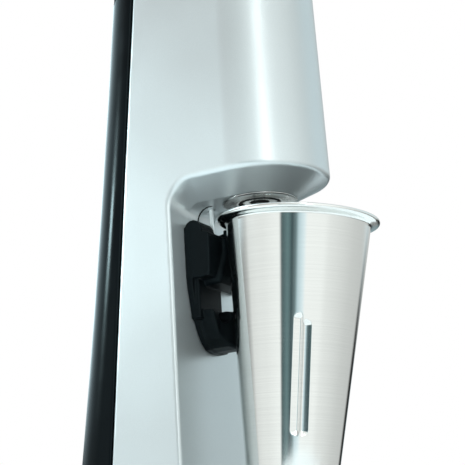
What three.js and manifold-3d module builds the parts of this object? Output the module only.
// Single-spindle milkshake mixer: leaning tower, overhanging motor head, cup holder, hanging cup.
// Millimetres, +Z up, front towards -Y, origin on the counter at the centre of the footprint.
import * as THREE from 'three';
import { mergeVertices } from 'three/addons/utils/BufferGeometryUtils.js';
import Module from 'manifold-3d';

const wasm = await Module();
wasm.setup();

// ---------- driving dimensions ----------
const HEIGHT = 490;        // counter to crown
const HALF_W = 85;         // half width of the base
const HALF_D = 102;        // half depth of the base
const BASE_TOP = 40;       // height of the base's deck
const BASE_ROUND = 14;     // rounding height of the base's upper edge
const LEAN = 4;            // backward lean of column face, spindle and holder, degrees
const CUP_TILT = 2;        // forward tilt of the cup, degrees
const RIM_Z = 280;         // reference height of the column face
const FACE_Y = 19;         // column front face at RIM_Z
const AXIS_Y = -19.7;      // spindle axis at AXIS_Z
const AXIS_Z = 300;
const HEAD_R = 46;         // nose radius and half width of the head at WIDTH_Z
const WIDTH_Z = 309.5;
const WALL = 3.6;          // casting wall
const CROWN_R = 16;        // rounding of the crown
const CROWN_FALL_Z = 420;  // height above which the sections start to fall to the rear
const FALL = 0.065;        // rearward fall of head edge, platform and crown, mm per mm
const FILLET = 16;         // inner corner between column and head
const CUP_Y = -47.2;       // cup axis at CUP_Z
const CUP_Z = 282.8;       // height of the cup's lip on its axis
const LIP_R = 51;          // cup lip
const CUP_R = 45.2;        // cup body just under the lip
const CUP_H = 175;
const CUP_FOOT_R = 26.7;
const ROD_OUT = 4.4;       // sensor rod's distance out of the column face
const HOLDER_SCALE = 0.956; // height factor of the cup holder's outline
const HOLDER_SCREW_X = 12;
const HOLDER_SCREW_Z = -60; // below RIM_Z, before HOLDER_SCALE
const SHAFT_R = 4;
const BEARING_R = 11;
const MOTOR_BOLT_X = 36;
const MOTOR_HOLE_R = 2.4;  // holes for the motor's through bolts
const GAP = 0.35;          // clearance between fitted parts
const SEAM_GAP = 0.4;      // each side of the seam between body and rear cover
const SEAT_R = BEARING_R + GAP;

// tower lines as functions of height, head lines as functions of depth
const rad = THREE.MathUtils.degToRad;
const LEAN_TAN = Math.tan(rad(LEAN));
const faceY = z => FACE_Y - (RIM_Z - z) * LEAN_TAN;
const axisY = z => AXIS_Y + (z - AXIS_Z) * LEAN_TAN;
const halfW = z => HEAD_R + (z > WIDTH_Z ? -0.019 : -0.012) * (z - WIDTH_Z);
const seamY = z => 54.5 - 0.0235 * (z - RIM_Z);
const backY = z => 81.85 - 0.0475 * (z - RIM_Z) + 7.3e-5 * (z - RIM_Z) ** 2;
const edgeZ = y => 309 - (y + 21) * FALL;             // lower edge of the head
const platformZ = y => 298 - (y - AXIS_Y) * FALL;     // platform under the head

// ---------- screw and foot places ----------
const SIDES = [-1, 1];
const SIDE_NAMES = [['left', -1], ['right', 1]];
const bothSides = (x, ys) => SIDES.flatMap(side => ys.map(y => [side * x, y]));
const COLUMN_SCREWS = bothSides(40.2, [12, 51]);
const PLATE_SCREWS = bothSides(70, [-36, 34]);
const COVER_SCREWS = [90, 440].flatMap(z => SIDES.map(side => [side * (halfW(z) - 8), seamY(z), z]));
const FEET = {
  front_left: [-56, -66], front_right: [56, -66],
  rear_left: [-56, 58], rear_right: [56, 58],
};

// ---------- solids and booleans ----------
// geometry to manifold; manifolds pass through
function solid(part) {
  if (!part.isBufferGeometry) return part;
  let bare = part.clone();
  bare.deleteAttribute('normal');
  bare.deleteAttribute('uv');
  bare = mergeVertices(bare, 1e-4);
  return new wasm.Manifold(new wasm.Mesh({
    numProp: 3,
    vertProperties: new Float32Array(bare.attributes.position.array),
    triVerts: new Uint32Array(bare.index.array),
  }));
}
// manifold to geometry; geometries pass through
function geometryOf(part) {
  if (part.isBufferGeometry) return part;
  const mesh = part.getMesh();
  const geometry = new THREE.BufferGeometry();
  const points = new Float32Array(mesh.vertProperties);
  geometry.setAttribute('position', new THREE.BufferAttribute(points, 3));
  geometry.setIndex(new THREE.BufferAttribute(new Uint32Array(mesh.triVerts), 1));
  geometry.computeVertexNormals();
  return geometry;
}
const join = (...parts) => parts.map(solid).reduce((sum, part) => sum.add(part));
const cut = (part, ...tools) => tools.reduce((rest, tool) => rest.subtract(solid(tool)), solid(part));

// ---------- outlines ----------
// points on an arc, both ends included; angles in degrees
const arc = (cx, cy, r, from, to, steps) => Array.from({ length: steps + 1 }, (_, i) => {
  const angle = rad(from + (to - from) * i / steps);
  return [cx + r * Math.cos(angle), cy + r * Math.sin(angle)];
});
const circle = (r, count, from = 0, sweep = 360) => arc(0, 0, r, from, from + sweep, count)
  .slice(0, count);
// right half from top to bottom, ending on the centre line, completed to the left
const mirrored = half => [...half, ...half.slice(0, -1).reverse().map(([x, z]) => [-x, z])];
const vectors = points => points.map(([x, y]) => new THREE.Vector2(x, y));
const shape = points => new THREE.Shape(vectors(points));

// ---------- primitives ----------
const cylinder = (r, z0, z1, segments, x = 0, y = 0) =>
  new THREE.CylinderGeometry(r, r, z1 - z0, segments)
    .rotateX(Math.PI / 2).translate(x, y, (z0 + z1) / 2);
const box = (x0, x1, y0, y1, z0, z1) => new THREE.BoxGeometry(x1 - x0, y1 - y0, z1 - z0)
  .translate((x0 + x1) / 2, (y0 + y1) / 2, (z0 + z1) / 2);
// box between two distances from x = 0, on the given side
const sideBox = (side, near, far, ...rest) =>
  (side > 0 ? box(near, far, ...rest) : box(-far, -near, ...rest));
// turned part about Z from a (radius, Z) profile
const lathe = (profile, segments) => new THREE.LatheGeometry(vectors(profile), segments)
  .rotateX(Math.PI / 2);
const ring = (r0, r1, z0, z1, segments) =>
  lathe([[r0, z0], [r1, z0], [r1, z1], [r0, z1], [r0, z0]], segments);
const extrude = (outline, depth, steps = 1) =>
  new THREE.ExtrudeGeometry(outline, { depth, steps, bevelEnabled: false });
const prismZ = (points, z0, z1) => extrude(shape(points), z1 - z0).translate(0, 0, z0);
const axes = (...rows) => new THREE.Matrix4().makeBasis(...rows.map(r => new THREE.Vector3(...r)));
// prism along X from a (Y, Z) outline
const prismX = (points, x0, x1) => extrude(shape(points), x1 - x0)
  .applyMatrix4(axes([0, 1, 0], [0, 0, 1], [1, 0, 0])).translate(x0, 0, 0);
// prism along Y from an (X, Z) outline
const prismY = (points, y0, y1) => extrude(shape(points), y1 - y0)
  .applyMatrix4(axes([1, 0, 0], [0, 0, 1], [0, -1, 0])).translate(0, y1, 0);
// prism along X from an outline (distance out of the face, height up the face)
const prismFace = (points, x0, x1) => prismX(points.map(([out, z]) => [-out, z]), x0, x1);
const tube = (extrudePath, r, sides, steps) => new THREE.ExtrudeGeometry(
  shape(circle(r, sides)), { steps, extrudePath, bevelEnabled: false });
// loft through sections with equal point counts: an extruded polygon whose rings are moved
function loft(sections) {
  const count = sections[0].length;
  const levels = sections.length - 1;
  const geometry = extrude(shape(circle(1, count, 180 / count)), 1, levels);
  const position = geometry.attributes.position;
  for (let v = 0; v < position.count; v++) {
    let angle = Math.atan2(position.getY(v), position.getX(v));
    if (angle < 0) angle += 2 * Math.PI;
    const i = Math.floor(angle / (2 * Math.PI) * count) % count;
    const level = Math.round(position.getZ(v) * levels);
    position.setXYZ(v, ...sections[level][i]);
  }
  return geometry;
}
// screw with its head at z = 0 and its shank up +Z
const screw = (headR, headH, shankR, shankL) => lathe([
  [0, 0], [headR * 0.8, 0], [headR, 0.7], [headR, headH],
  [shankR, headH], [shankR, headH + shankL], [0, headH + shankL],
], 8);

// ---------- frames ----------
function frame(y, z, tilt) {
  const group = new THREE.Group();
  group.position.set(0, y, z);
  group.rotation.x = rad(tilt);
  group.updateMatrix();
  return group;
}
const mixer = new THREE.Group();
const face = frame(FACE_Y, RIM_Z, -LEAN);      // -y out of the column face
const cup = frame(CUP_Y, CUP_Z, CUP_TILT);     // origin at the lip
const motor = frame(AXIS_Y, AXIS_Z, -LEAN);    // z along the spindle
const placed = (geometry, group) => geometry.applyMatrix4(group.matrix);
// turns +Z to the rear and moves to a cover screw
const atCoverScrew = (geometry, place) => geometry.rotateX(-Math.PI / 2).translate(...place);

function put(parent, name, part, material) {
  const mesh = new THREE.Mesh(geometryOf(part), material);
  mesh.name = name;
  parent.add(mesh);
}

// ---------- materials ----------
const material = settings => new THREE.MeshStandardMaterial(settings);
const finish = {
  silver: material({ color: 0xd0dadb, roughness: 0.38, metalness: 0.55 }),
  black: material({ color: 0x16191c, roughness: 0.42, metalness: 0 }),
  holder: material({ color: 0x15171a, roughness: 0.5, metalness: 0 }),
  steel: material({ color: 0xc8ccc8, roughness: 0.18, metalness: 1 }),
  satin: material({ color: 0x9ea3a4, roughness: 0.3, metalness: 1 }),
  rubber: material({ color: 0x151515, roughness: 0.8, metalness: 0 }),
  brass: material({ color: 0xb08d45, roughness: 0.3, metalness: 1 }),
  copper: material({ color: 0xa5552b, roughness: 0.35, metalness: 0.9 }),
  iron: material({ color: 0x5b5e61, roughness: 0.55, metalness: 0.8 }),
  carbon: material({ color: 0x222222, roughness: 0.9, metalness: 0.1 }),
  board: material({ color: 0x1d5a37, roughness: 0.6, metalness: 0 }),
  plastic: material({ color: 0xd8d4c4, roughness: 0.5, metalness: 0 }),
  zinc: material({ color: 0xb4b8ba, roughness: 0.35, metalness: 1 }),
};

// ---------- tower ----------
// plan section for the lines at z, drawn at drawZ: round nose, rounded rear corners
function towerSection(z, inset, drawZ) {
  const half = halfW(z) - inset;
  const rear = backY(z) - inset;
  const corner = Math.max(20 - inset, 4);
  const cornerY = rear - 2.5 - corner;
  const fall = FALL * THREE.MathUtils.smoothstep(drawZ, CROWN_FALL_Z, HEIGHT);
  return [
    ...arc(0, axisY(z), half, 180, 360, 18),
    ...arc(half - corner, cornerY, corner, 0, 90, 4),
    [half * 0.3, rear - 0.5],
    [-half * 0.3, rear - 0.5],
    ...arc(corner - half, cornerY, corner, 90, 180, 4),
  ].map(([x, y]) => [x, y, drawZ - fall * Math.max(0, y + 50)]);
}
function tower(inset, bottom) {
  const sections = [bottom, 180, 320, CROWN_FALL_Z].map(z => towerSection(z, inset, z));
  for (const angle of [0, 32, 62, 90].map(rad)) {
    const z = HEIGHT - CROWN_R + CROWN_R * Math.sin(angle);
    sections.push(towerSection(z, inset + CROWN_R * (1 - Math.cos(angle)), z - inset));
  }
  return solid(loft(sections));
}
// space under the head: column face, rounded inner corner, lower edge of the head
function bay(back, up, r) {
  const wallY = z => faceY(z) + back;
  const roofZ = y => edgeZ(y) + up;
  const cornerZ = roofZ(wallY(309));
  const centreY = wallY(cornerZ) - r;
  const centreZ = cornerZ - r;
  return prismX([
    [wallY(-20), -20],
    [wallY(centreZ), centreZ],
    ...arc(centreY, centreZ, r, 0, 90, 5).slice(1),
    [-140, roofZ(-140)],
    [-140, -20],
  ], -80, 80);
}
// D-shaped section of the platform under the head
const platformSection = (r, height) =>
  [...arc(0, AXIS_Y, r, 180, 360, 14), [r, 34], [-r, 34]].map(([x, y]) => [x, y, height(y)]);
const platform = loft([
  platformSection(24, platformZ),
  platformSection(45.7, y => edgeZ(y) - 0.2),
  platformSection(45.7, y => edgeZ(y) + 3),
]);
const outer = cut(tower(0, BASE_TOP + GAP), cut(bay(0, 0, FILLET), platform));
const shell = cut(outer, cut(tower(WALL, BASE_TOP - 12), bay(WALL + 0.4, 4, FILLET - 4)));
// everything to the rear of the seam, shifted back by an offset
const behindSeam = offset => solid(prismX(
  [[seamY(-20) + offset, -20], [200, -20], [200, 540], [seamY(540) + offset, 540]], -90, 90));

function bodyCasting() {
  const trimmed = part => cut(part, behindSeam(-SEAM_GAP));
  let body = join(trimmed(shell), placed(cylinder(19, 6, 16, 28), motor));   // bearing boss
  for (const [x, y] of COLUMN_SCREWS) {
    const boss = solid(cylinder(5.6, BASE_TOP + GAP, 62, 12, x, y)).intersect(outer);
    body = join(body, trimmed(boss));
  }
  for (const place of COVER_SCREWS) {
    body = join(body, trimmed(atCoverScrew(cylinder(5.4, -17.5, -1.5, 10), place)));
  }
  // seal bore, bearing seat, rod hole, arched recess in the column face
  body = cut(body,
    placed(cylinder(14.2, -20, 4.4, 28), motor),
    placed(cylinder(SEAT_R, 4.2, 40, 28), motor),
    placed(cylinder(2.1, 8, 60, 12, 0, -ROD_OUT), face),
    placed(prismY([
      [-14, -2], [14, -2], [14, 9], [10, 12.5], [4, 14.6],
      [-4, 14.6], [-10, 12.5], [-14, 9],
    ], -1, 3), face));
  // screw holes
  return cut(body,
    ...COLUMN_SCREWS.map(([x, y]) => cylinder(2.3, 30, 56, 10, x, y)),
    ...COVER_SCREWS.map(place => atCoverScrew(cylinder(1.9, -15.5, 4.5, 10), place)),
    ...SIDES.map(side => placed(cylinder(MOTOR_HOLE_R, 2, 60, 10, side * MOTOR_BOLT_X), motor)),
    ...SIDES.map(side => placed(cylinder(2.2, -12, 12, 10).rotateX(Math.PI / 2)
      .translate(side * HOLDER_SCREW_X, 0, HOLDER_SCREW_Z * HOLDER_SCALE), face)));
}
put(mixer, 'body_casting', bodyCasting(), finish.silver);

const COVER_WELL_FLOOR = 5;   // from the seam back to the seat of the screw head
function rearCover() {
  let cover = shell.intersect(behindSeam(SEAM_GAP));
  for (const place of COVER_SCREWS) {
    cover = join(cover, solid(atCoverScrew(cylinder(5.6, 1, 40, 14), place)).intersect(outer));
  }
  for (const place of COVER_SCREWS) {
    cover = cut(cover, atCoverScrew(cylinder(4.3, COVER_WELL_FLOOR, 60, 14), place),
      atCoverScrew(cylinder(2.3, -2, 8, 10), place));
  }
  for (let i = 0; i < 7; i++) {   // louvres
    const z = 372 + i * 9;
    cover = cut(cover, box(-20, 20, 55, 100, z, z + 3.4));
  }
  return cover;
}
put(mixer, 'rear_cover', rearCover(), finish.black);

// ---------- base ----------
// rounded plan section, drawn in at front and sides, drawn in at the rear, and inset all round
function baseSection(z, drawIn, rearDrawIn, inset) {
  const half = HALF_W - drawIn - inset;
  const front = -HALF_D + drawIn + inset;
  const rear = HALF_D - rearDrawIn - inset;
  const frontR = Math.max(52 - drawIn - inset, 10);
  const rearR = Math.max(42 - drawIn * 0.5 - inset, 10);
  return [
    ...arc(frontR - half, front + frontR, frontR, 180, 270, 5),
    ...arc(half - frontR, front + frontR, frontR, 270, 360, 5),
    ...arc(half - rearR, rear - rearR, rearR, 0, 90, 5),
    ...arc(rearR - half, rear - rearR, rearR, 90, 180, 5),
  ].map(([x, y]) => [x, y, z]);
}
// levels: [z, drawIn, rearDrawIn]
const baseLoft = (levels, inset) => solid(loft(levels.map(level => baseSection(...level, inset))));

function baseHousing() {
  const roundZ = BASE_TOP - BASE_ROUND;
  const rounding = [35, 65, 90].map(rad).map(angle => [
    roundZ + BASE_ROUND * Math.sin(angle),
    1.5 + BASE_ROUND * (1 - Math.cos(angle)),
    0.8 + 2.4 * (1 - Math.cos(angle)),
  ]);
  const outside = baseLoft([[5.2, 0, 0], [roundZ, 1.5, 0.8], ...rounding], 0);
  const cavity = baseLoft([[2, 0, 0], [24, 1.5, 0.8], [32, 5, 1.6], [36, 12, 3]], 4);
  const posts = PLATE_SCREWS.map(([x, y]) =>
    solid(cylinder(5, 8.2, 39, 10, x, y)).intersect(outside));
  return cut(join(cut(outside, cavity), ...posts),
    ...PLATE_SCREWS.map(([x, y]) => cylinder(1.9, 0, 20, 10, x, y)),
    ...COLUMN_SCREWS.map(([x, y]) => cylinder(2.4, 30, 50, 10, x, y)),
    box(-20, 20, 24, 48, 30, 50),                                               // deck opening
    box(-21, 21, -110, -99.6, 10, 30), box(-17.3, 17.3, -110, -90, 12.4, 27.6),  // rocker
    box(-19, 19, 99.4, 110, 8.6, 33.4), box(-14.4, 14.4, 90, 110, 11.4, 30.6));  // inlet
}
put(mixer, 'base_housing', baseHousing(), finish.silver);

const basePlate = cut(baseLoft([[5.4, 0, 0], [7.6, 0, 0]], 4.5),
  ...Object.values(FEET).map(([x, y]) => cylinder(3.7, 0, 12, 12, x, y)),
  ...PLATE_SCREWS.map(([x, y]) => cylinder(2.4, 0, 12, 10, x, y)),
  ...[-18, -9, 0, 9, 18].map(y => box(-16, 16, y - 1.6, y + 1.6, 0, 12)));   // slots
put(mixer, 'base_plate', basePlate, finish.zinc);

for (const [name, [x, y]] of Object.entries(FEET)) {
  const foot = lathe([[0, 0], [9.5, 0], [10.6, 1], [9.6, 5], [3.3, 5], [3.3, 9], [0, 9]], 12);
  put(mixer, 'foot_' + name, foot.translate(x, y, 0), finish.rubber);
}
PLATE_SCREWS.forEach(([x, y], i) =>
  put(mixer, `plate_screw_${i + 1}`, screw(3.8, 2, 1.5, 14).translate(x, y, 3.1), finish.zinc));
COLUMN_SCREWS.forEach(([x, y], i) => put(mixer, `column_screw_${i + 1}`,
  screw(3.9, 2.6, 1.9, 18).translate(x, y, 33 - GAP), finish.zinc));
COVER_SCREWS.forEach(([x, y, z], i) => {
  const headH = 2.4;
  const fitted = screw(3.8, headH, 1.5, 14).rotateX(Math.PI / 2)
    .translate(x, y + COVER_WELL_FLOOR + headH + GAP, z);
  put(mixer, `cover_screw_${i + 1}`, fitted, finish.zinc);
});

// speed rocker in the front of the base: flange, housing, three terminals behind
const bezel = join(
  cut(join(box(-20, 20, -101.6, -99.9, 11, 29), box(-16.8, 16.8, -100.4, -78, 13, 27)),
    box(-13.8, 13.8, -110, -84, 14.2, 25.8)),
  ...[-10, 0, 10].map(x => box(x - 1.5, x + 1.5, -78.5, -72, 17, 23)));
put(mixer, 'rocker_bezel', bezel, finish.black);
put(mixer, 'speed_rocker', prismZ([
  [-12.2, -4.8], [0, -3.2], [12.2, -4.8], [13, 1.5], [9, 6], [-9, 6], [-13, 1.5],
], 14.7, 25.3).translate(0, -96.2, 0), finish.black);

// mains inlet at the back of the base: flange, socket, three pins
const inlet = join(
  cut(join(box(-18, 18, 99.8, 101.6, 9, 33), box(-14, 14, 80, 100.4, 11.8, 30.2)),
    prismY([[-11.8, 14], [11.8, 14], [11.8, 24], [8, 27.6], [-8, 27.6], [-11.8, 24]], 84, 110)),
  ...[[-7, 18.6], [7, 18.6], [0, 22.6]].map(([x, z]) => box(x - 1, x + 1, 83, 97, z - 2, z + 2)));
put(mixer, 'mains_inlet', inlet, finish.black);

// ---------- cup holder on the column face ----------
mixer.add(face);
function cupHolder() {
  // cylinder standing out of the face on a screw axis
  const atScrew = (side, r, z0, segments) => cylinder(r, z0, 30, segments)
    .rotateX(Math.PI / 2).translate(side * HOLDER_SCREW_X, 0, HOLDER_SCREW_Z);
  const holder = join(
    prismY(mirrored([                                          // back plate
      [27, 1.5], [29.6, -3], [30, -36], [28.2, -50], [24.6, -60],
      [20.6, -69], [16.2, -76], [11, -80.5], [0, -82],
    ]), -4.4, -GAP),
    prismFace([                                                // upper block
      [0.4, -0.5], [3, 2.3], [7, 3.2], [10.6, 2], [13.3, -2], [13.7, -4.6],
      [17, -5], [17.8, -6.6], [17, -33.5], [15, -35.4], [0.4, -36],
    ], -30, 30),
    prismFace([                                                // its raised middle
      [3, -5], [17, -5], [19.6, -6], [20.1, -8], [20.1, -32], [18, -35.5], [3, -36],
    ], -12, 12),
    box(-27, 2, -7, -0.4, -58, -34),
    prismFace([                                                // lugs under the lip
      [14.6, -9], [19, -9], [18.6, -1.2], [17.2, -0.5], [15.5, 0.1], [14.6, -0.5],
    ], -4.6, 4.6),
    prismY(mirrored([                                          // lower block
      [24, -56], [20.4, -69], [16, -75.8], [10, -80.3], [0, -81.7],
    ]), -14.6, -2),
    prismFace([[3, -57], [17, -57], [20, -59], [20.1, -72], [17, -77], [3, -80]], -10, 10));
  const drilled = cut(holder,
    box(-12, 12, -13, 0, -8, 10),              // pocket behind the lugs
    box(-1.9, 1.9, -24, -3, -8, 10),           // slot between the lugs
    box(2.2, 40, -30, 2, -55.5, -36.5),        // opening on the right
    ...SIDES.flatMap(side => [atScrew(side, 2.2, -2, 10), atScrew(side, 4.2, 4, 12)]));
  return geometryOf(drilled).scale(1, 1, HOLDER_SCALE);
}
put(face, 'cup_holder', cupHolder(), finish.holder);
for (const [name, side] of SIDE_NAMES) {
  put(face, 'holder_screw_' + name, screw(3.8, 2.4, 1.8, 12).rotateX(-Math.PI / 2)
    .translate(side * HOLDER_SCREW_X, -6.8, HOLDER_SCREW_Z * HOLDER_SCALE), finish.zinc);
}

// sensor rod: foot under the lip, flat strip up into the head, collar and switch arm
const ROD_Y = -ROD_OUT;
const COLLAR_Z = 50;
const COLLAR_TOP = 51.6;
put(face, 'sensor_rod', join(
  box(-1.1, 1.1, ROD_Y - 0.9, ROD_Y + 0.9, -6.2, 58),
  box(-1.2, 1.2, -18.2, ROD_Y + 0.9, -6.2, -4.8),
  box(-1.2, 1.2, -17.9, -15.7, -6.2, -0.8),
  cylinder(4, COLLAR_Z, COLLAR_TOP, 14, 0, ROD_Y),
  box(-1, 14.5, ROD_Y - 1.6, ROD_Y + 1.6, COLLAR_Z, COLLAR_TOP)), finish.steel);

const SPRING = { bottom: 35.2, length: 13.8, radius: 2.9, turns: 4, wireR: 0.45 };
class Helix extends THREE.Curve {
  getPoint(t, target = new THREE.Vector3()) {
    const angle = 2 * Math.PI * SPRING.turns * t;
    return target.set(
      SPRING.radius * Math.cos(angle),
      ROD_Y + SPRING.radius * Math.sin(angle),
      SPRING.bottom + SPRING.length * t);
  }
}
put(face, 'rod_spring', tube(new Helix(), SPRING.wireR, 5, 36), finish.steel);

put(face, 'micro_switch', cut(
  join(box(7, 27, ROD_Y - 3.2, ROD_Y + 3.2, 35.2, 45), box(11, 12, ROD_Y - 1, ROD_Y + 1, 34.9, 36)),
  box(11, 14.6, ROD_Y - 1.8, ROD_Y + 1.8, 41, 50)), finish.black);
put(face, 'switch_plunger', box(11.4, 14.2, ROD_Y - 1.4, ROD_Y + 1.4, 43, 49.6), finish.plastic);

// ---------- cup ----------
mixer.add(cup);
put(cup, 'mixing_cup', lathe([
  // outside, from the bottom up to the lip
  [0, -CUP_H], [CUP_FOOT_R - 2.4, -CUP_H], [CUP_FOOT_R, -CUP_H + 2.6],
  [CUP_R, -5.2], [CUP_R + 1.2, -3.9], [48.8, -3.4], [50.2, -2.9], [LIP_R, -1.7],
  // over the lip and down the inside
  [50.6, -0.5], [49.4, 0], [48.2, -0.7], [46.2, -2.6], [CUP_R - 0.9, -5],
  [CUP_FOOT_R - 1, -CUP_H + 3.4], [CUP_FOOT_R - 3, -CUP_H + 1], [0, -CUP_H + 1],
], 36), finish.steel);

// ---------- head underside and spindle ----------
mixer.add(motor);
put(motor, 'splash_collar', lathe([
  [13.5, -2.6], [14, -3.3], [23.6, -3.3], [24, -2.9], [23.6, -2.5],
  [13.9, -2.5], [13.9, 1.5], [13.5, 1.5], [13.5, -2.6],
], 24), finish.satin);
put(motor, 'shaft_seal', lathe([
  [4.5, -3.2], [5.3, -3.2], [5.7, -0.6], [11.9, -0.6], [12, -3.6], [12.6, -4],
  [13.2, -3.6], [13.2, 3.8], [4.5, 3.8], [4.5, -3.2],
], 22), finish.rubber);
put(motor, 'seal_retainer', lathe([
  [6, -1], [6, -2.4], [7.2, -2.9], [11.2, -2.6], [11.6, -2], [11.6, -1], [6, -1],
], 20), finish.satin);
put(motor, 'lower_bearing', ring(SHAFT_R + GAP, BEARING_R, 4.9, 12, 20), finish.satin);
put(motor, 'spindle_shaft', lathe([
  [0, -175], [2.4, -175], [2.6, -166], [SHAFT_R, -164], [SHAFT_R, 135], [3, 136], [0, 136],
], 16), finish.steel);

// agitator: disc with six edge notches on the tip, held by an acorn nut
const disc = lathe([
  [2.9, -172.2], [5.5, -172.2], [6, -170.8], [12.4, -171.6], [13, -170.6],
  [12.6, -169.6], [6, -167.8], [5.2, -166.4], [2.9, -166.4], [2.9, -172.2],
], 18);
const notches = circle(12.8, 6).map(([x, y]) => cylinder(1.9, -180, -160, 8, x, y));
put(motor, 'agitator_disc', cut(disc, ...notches), finish.steel);
put(motor, 'agitator_nut', lathe([
  [2.75, -172.6], [2.75, -175.4], [0, -175.4], [0, -178],
  [2.4, -177.2], [4.4, -174.8], [4.6, -172.6], [2.75, -172.6],
], 16), finish.steel);

// ---------- motor, along the leaning spindle ----------
const STACK_BOTTOM = 52;   // iron of rotor and stator
const STACK_TOP = 92;
const POLE_BORE_R = 16.6;

const blades = Array.from({ length: 9 }, (_, i) =>
  box(7.7, 28, -0.6, 0.6, 21, 32).rotateZ(i * 2 * Math.PI / 9));
put(motor, 'cooling_fan',
  join(ring(4.3, 8, 20, 33, 16), ring(7.5, 29, 20, 21.4, 20), ...blades), finish.black);

// bored disc with a repeated rim; tooth points are [radius, angle in radians from its start]
function toothed(teeth, tooth, boreR, z0, z1) {
  const rim = [];
  for (let i = 0; i < teeth; i++) {
    for (const [r, offset] of tooth) {
      const angle = i * 2 * Math.PI / teeth + offset;
      rim.push([r * Math.cos(angle), r * Math.sin(angle)]);
    }
  }
  const outline = shape(rim);
  outline.holes.push(new THREE.Path(vectors(circle(boreR, 14, 0, -360))));
  return extrude(outline, z1 - z0).translate(0, 0, z0);
}
const ROTOR_TOOTH = [[16, -0.24], [16, 0], [16, 0.24], [11, 0.24], [11, 0.39]];
put(motor, 'rotor_core', toothed(10, ROTOR_TOOTH, 4.3, STACK_BOTTOM, STACK_TOP), finish.iron);
put(motor, 'rotor_winding_lower', lathe([
  [4.4, 44], [11, 44], [14, 46.5], [14, 51.6], [4.4, 51.6], [4.4, 44],
], 18), finish.copper);
put(motor, 'rotor_winding_upper', lathe([
  [4.4, 92.4], [14, 92.4], [14, 96.5], [11, 99.5], [4.4, 99.5], [4.4, 92.4],
], 18), finish.copper);
const COMMUTATOR_BAR = [[10.8, 0], [10.8, 0.26], [10, 0.285]];
put(motor, 'commutator', toothed(20, COMMUTATOR_BAR, 4.4, 102, 116), finish.copper);

// stator ring with two poles, a field coil round each; both drawn at the rear
const pole = cut(join(
  box(-10, 10, 16, 32, STACK_BOTTOM, STACK_TOP),
  prismZ([...arc(0, 0, 19.4, 35, 145, 8), ...arc(0, 0, POLE_BORE_R, 145, 35, 8)],
    STACK_BOTTOM, STACK_TOP)), cylinder(POLE_BORE_R, 40, 100, 28));
const coil = cut(box(-16.4, 16.4, 20, 24.4, 45, 99), box(-10.5, 10.5, 10, 30, 51.5, 92.5));
const toFront = part => part.rotate([0, 0, 180]);
put(motor, 'stator_core',
  join(ring(30.2, 33.6, STACK_BOTTOM, STACK_TOP, 28), toFront(pole), pole), finish.iron);
put(motor, 'field_coil_front', toFront(coil), finish.copper);
put(motor, 'field_coil_rear', coil, finish.copper);

// brackets across the motor, the lower one on two legs
const boltHoles = (z0, z1) => SIDES.map(side =>
  cylinder(MOTOR_HOLE_R, z0, z1, 10, side * MOTOR_BOLT_X));
const lowerBracket = cut(join(
  box(-40.2, 40.2, -8, 8, 38, 42),
  cylinder(16, 38, 42, 20),
  ...SIDES.map(side => sideBox(side, 33.6, 40.2, -6, 6, 21.4, 40))),
cylinder(6, 30, 50, 20), ...boltHoles(10, 50));
put(motor, 'lower_bracket', lowerBracket, finish.zinc);
const upperBracket = cut(
  join(box(-38.9, 38.9, -7, 7, 120, 124), cylinder(13.5, 120, 132, 24)),
  cylinder(SEAT_R, 123, 140, 24), cylinder(6, 110, 130, 16), ...boltHoles(110, 140));
put(motor, 'upper_bracket', upperBracket, finish.zinc);
put(motor, 'upper_bearing', ring(SHAFT_R + GAP, BEARING_R, 123.4, 130.4, 20), finish.satin);

for (const [name, side] of SIDE_NAMES) {
  const x = side * MOTOR_BOLT_X;
  put(motor, 'rubber_mount_' + name, ring(2.4, 4.6, 16.6, 21, 14).translate(x, 0, 0),
    finish.rubber);
  put(motor, 'through_bolt_' + name, lathe([
    [0, 6], [1.9, 6], [1.9, 124.4], [3.4, 124.4], [3.4, 127], [0, 127],
  ], 10).translate(x, 0, 0), finish.zinc);
  const brushHolder = cut(
    join(sideBox(side, 14, 31, -5, 5, 104, 114), sideBox(side, 20, 24, -2, 2, 113, 119.6)),
    sideBox(side, 10, 40, -3.4, 3.4, 105.6, 112.4));
  put(motor, 'brush_holder_' + name, brushHolder, finish.brass);
  put(motor, 'carbon_brush_' + name, sideBox(side, 11.3, 24, -3, 3, 106, 112), finish.carbon);
}

// ---------- electrics in the column ----------
put(mixer, 'control_board', join(
  box(-30, 30, 30, 31.6, 120, 210),
  box(-24, -6, 31, 44, 150, 180),
  box(4, 24, 31, 40, 130, 160),
  cylinder(5, 0, 12, 12, 14).rotateX(-Math.PI / 2).translate(0, 31, 190)), finish.board);

// [x, y, z] from the base up into the head
const LOOM_PATH = [
  [0, 60, 20], [0, 40, 30], [2, 36, 60], [22, 38, 100],
  [36, 42, 180], [37, 40, 280], [34, 34, 330], [28, 32, 400],
];
const loomCurve = new THREE.CatmullRomCurve3(LOOM_PATH.map(p => new THREE.Vector3(...p)));
put(mixer, 'wiring_loom', tube(loomCurve, 2.2, 8, 24), finish.rubber);

export default mixer;
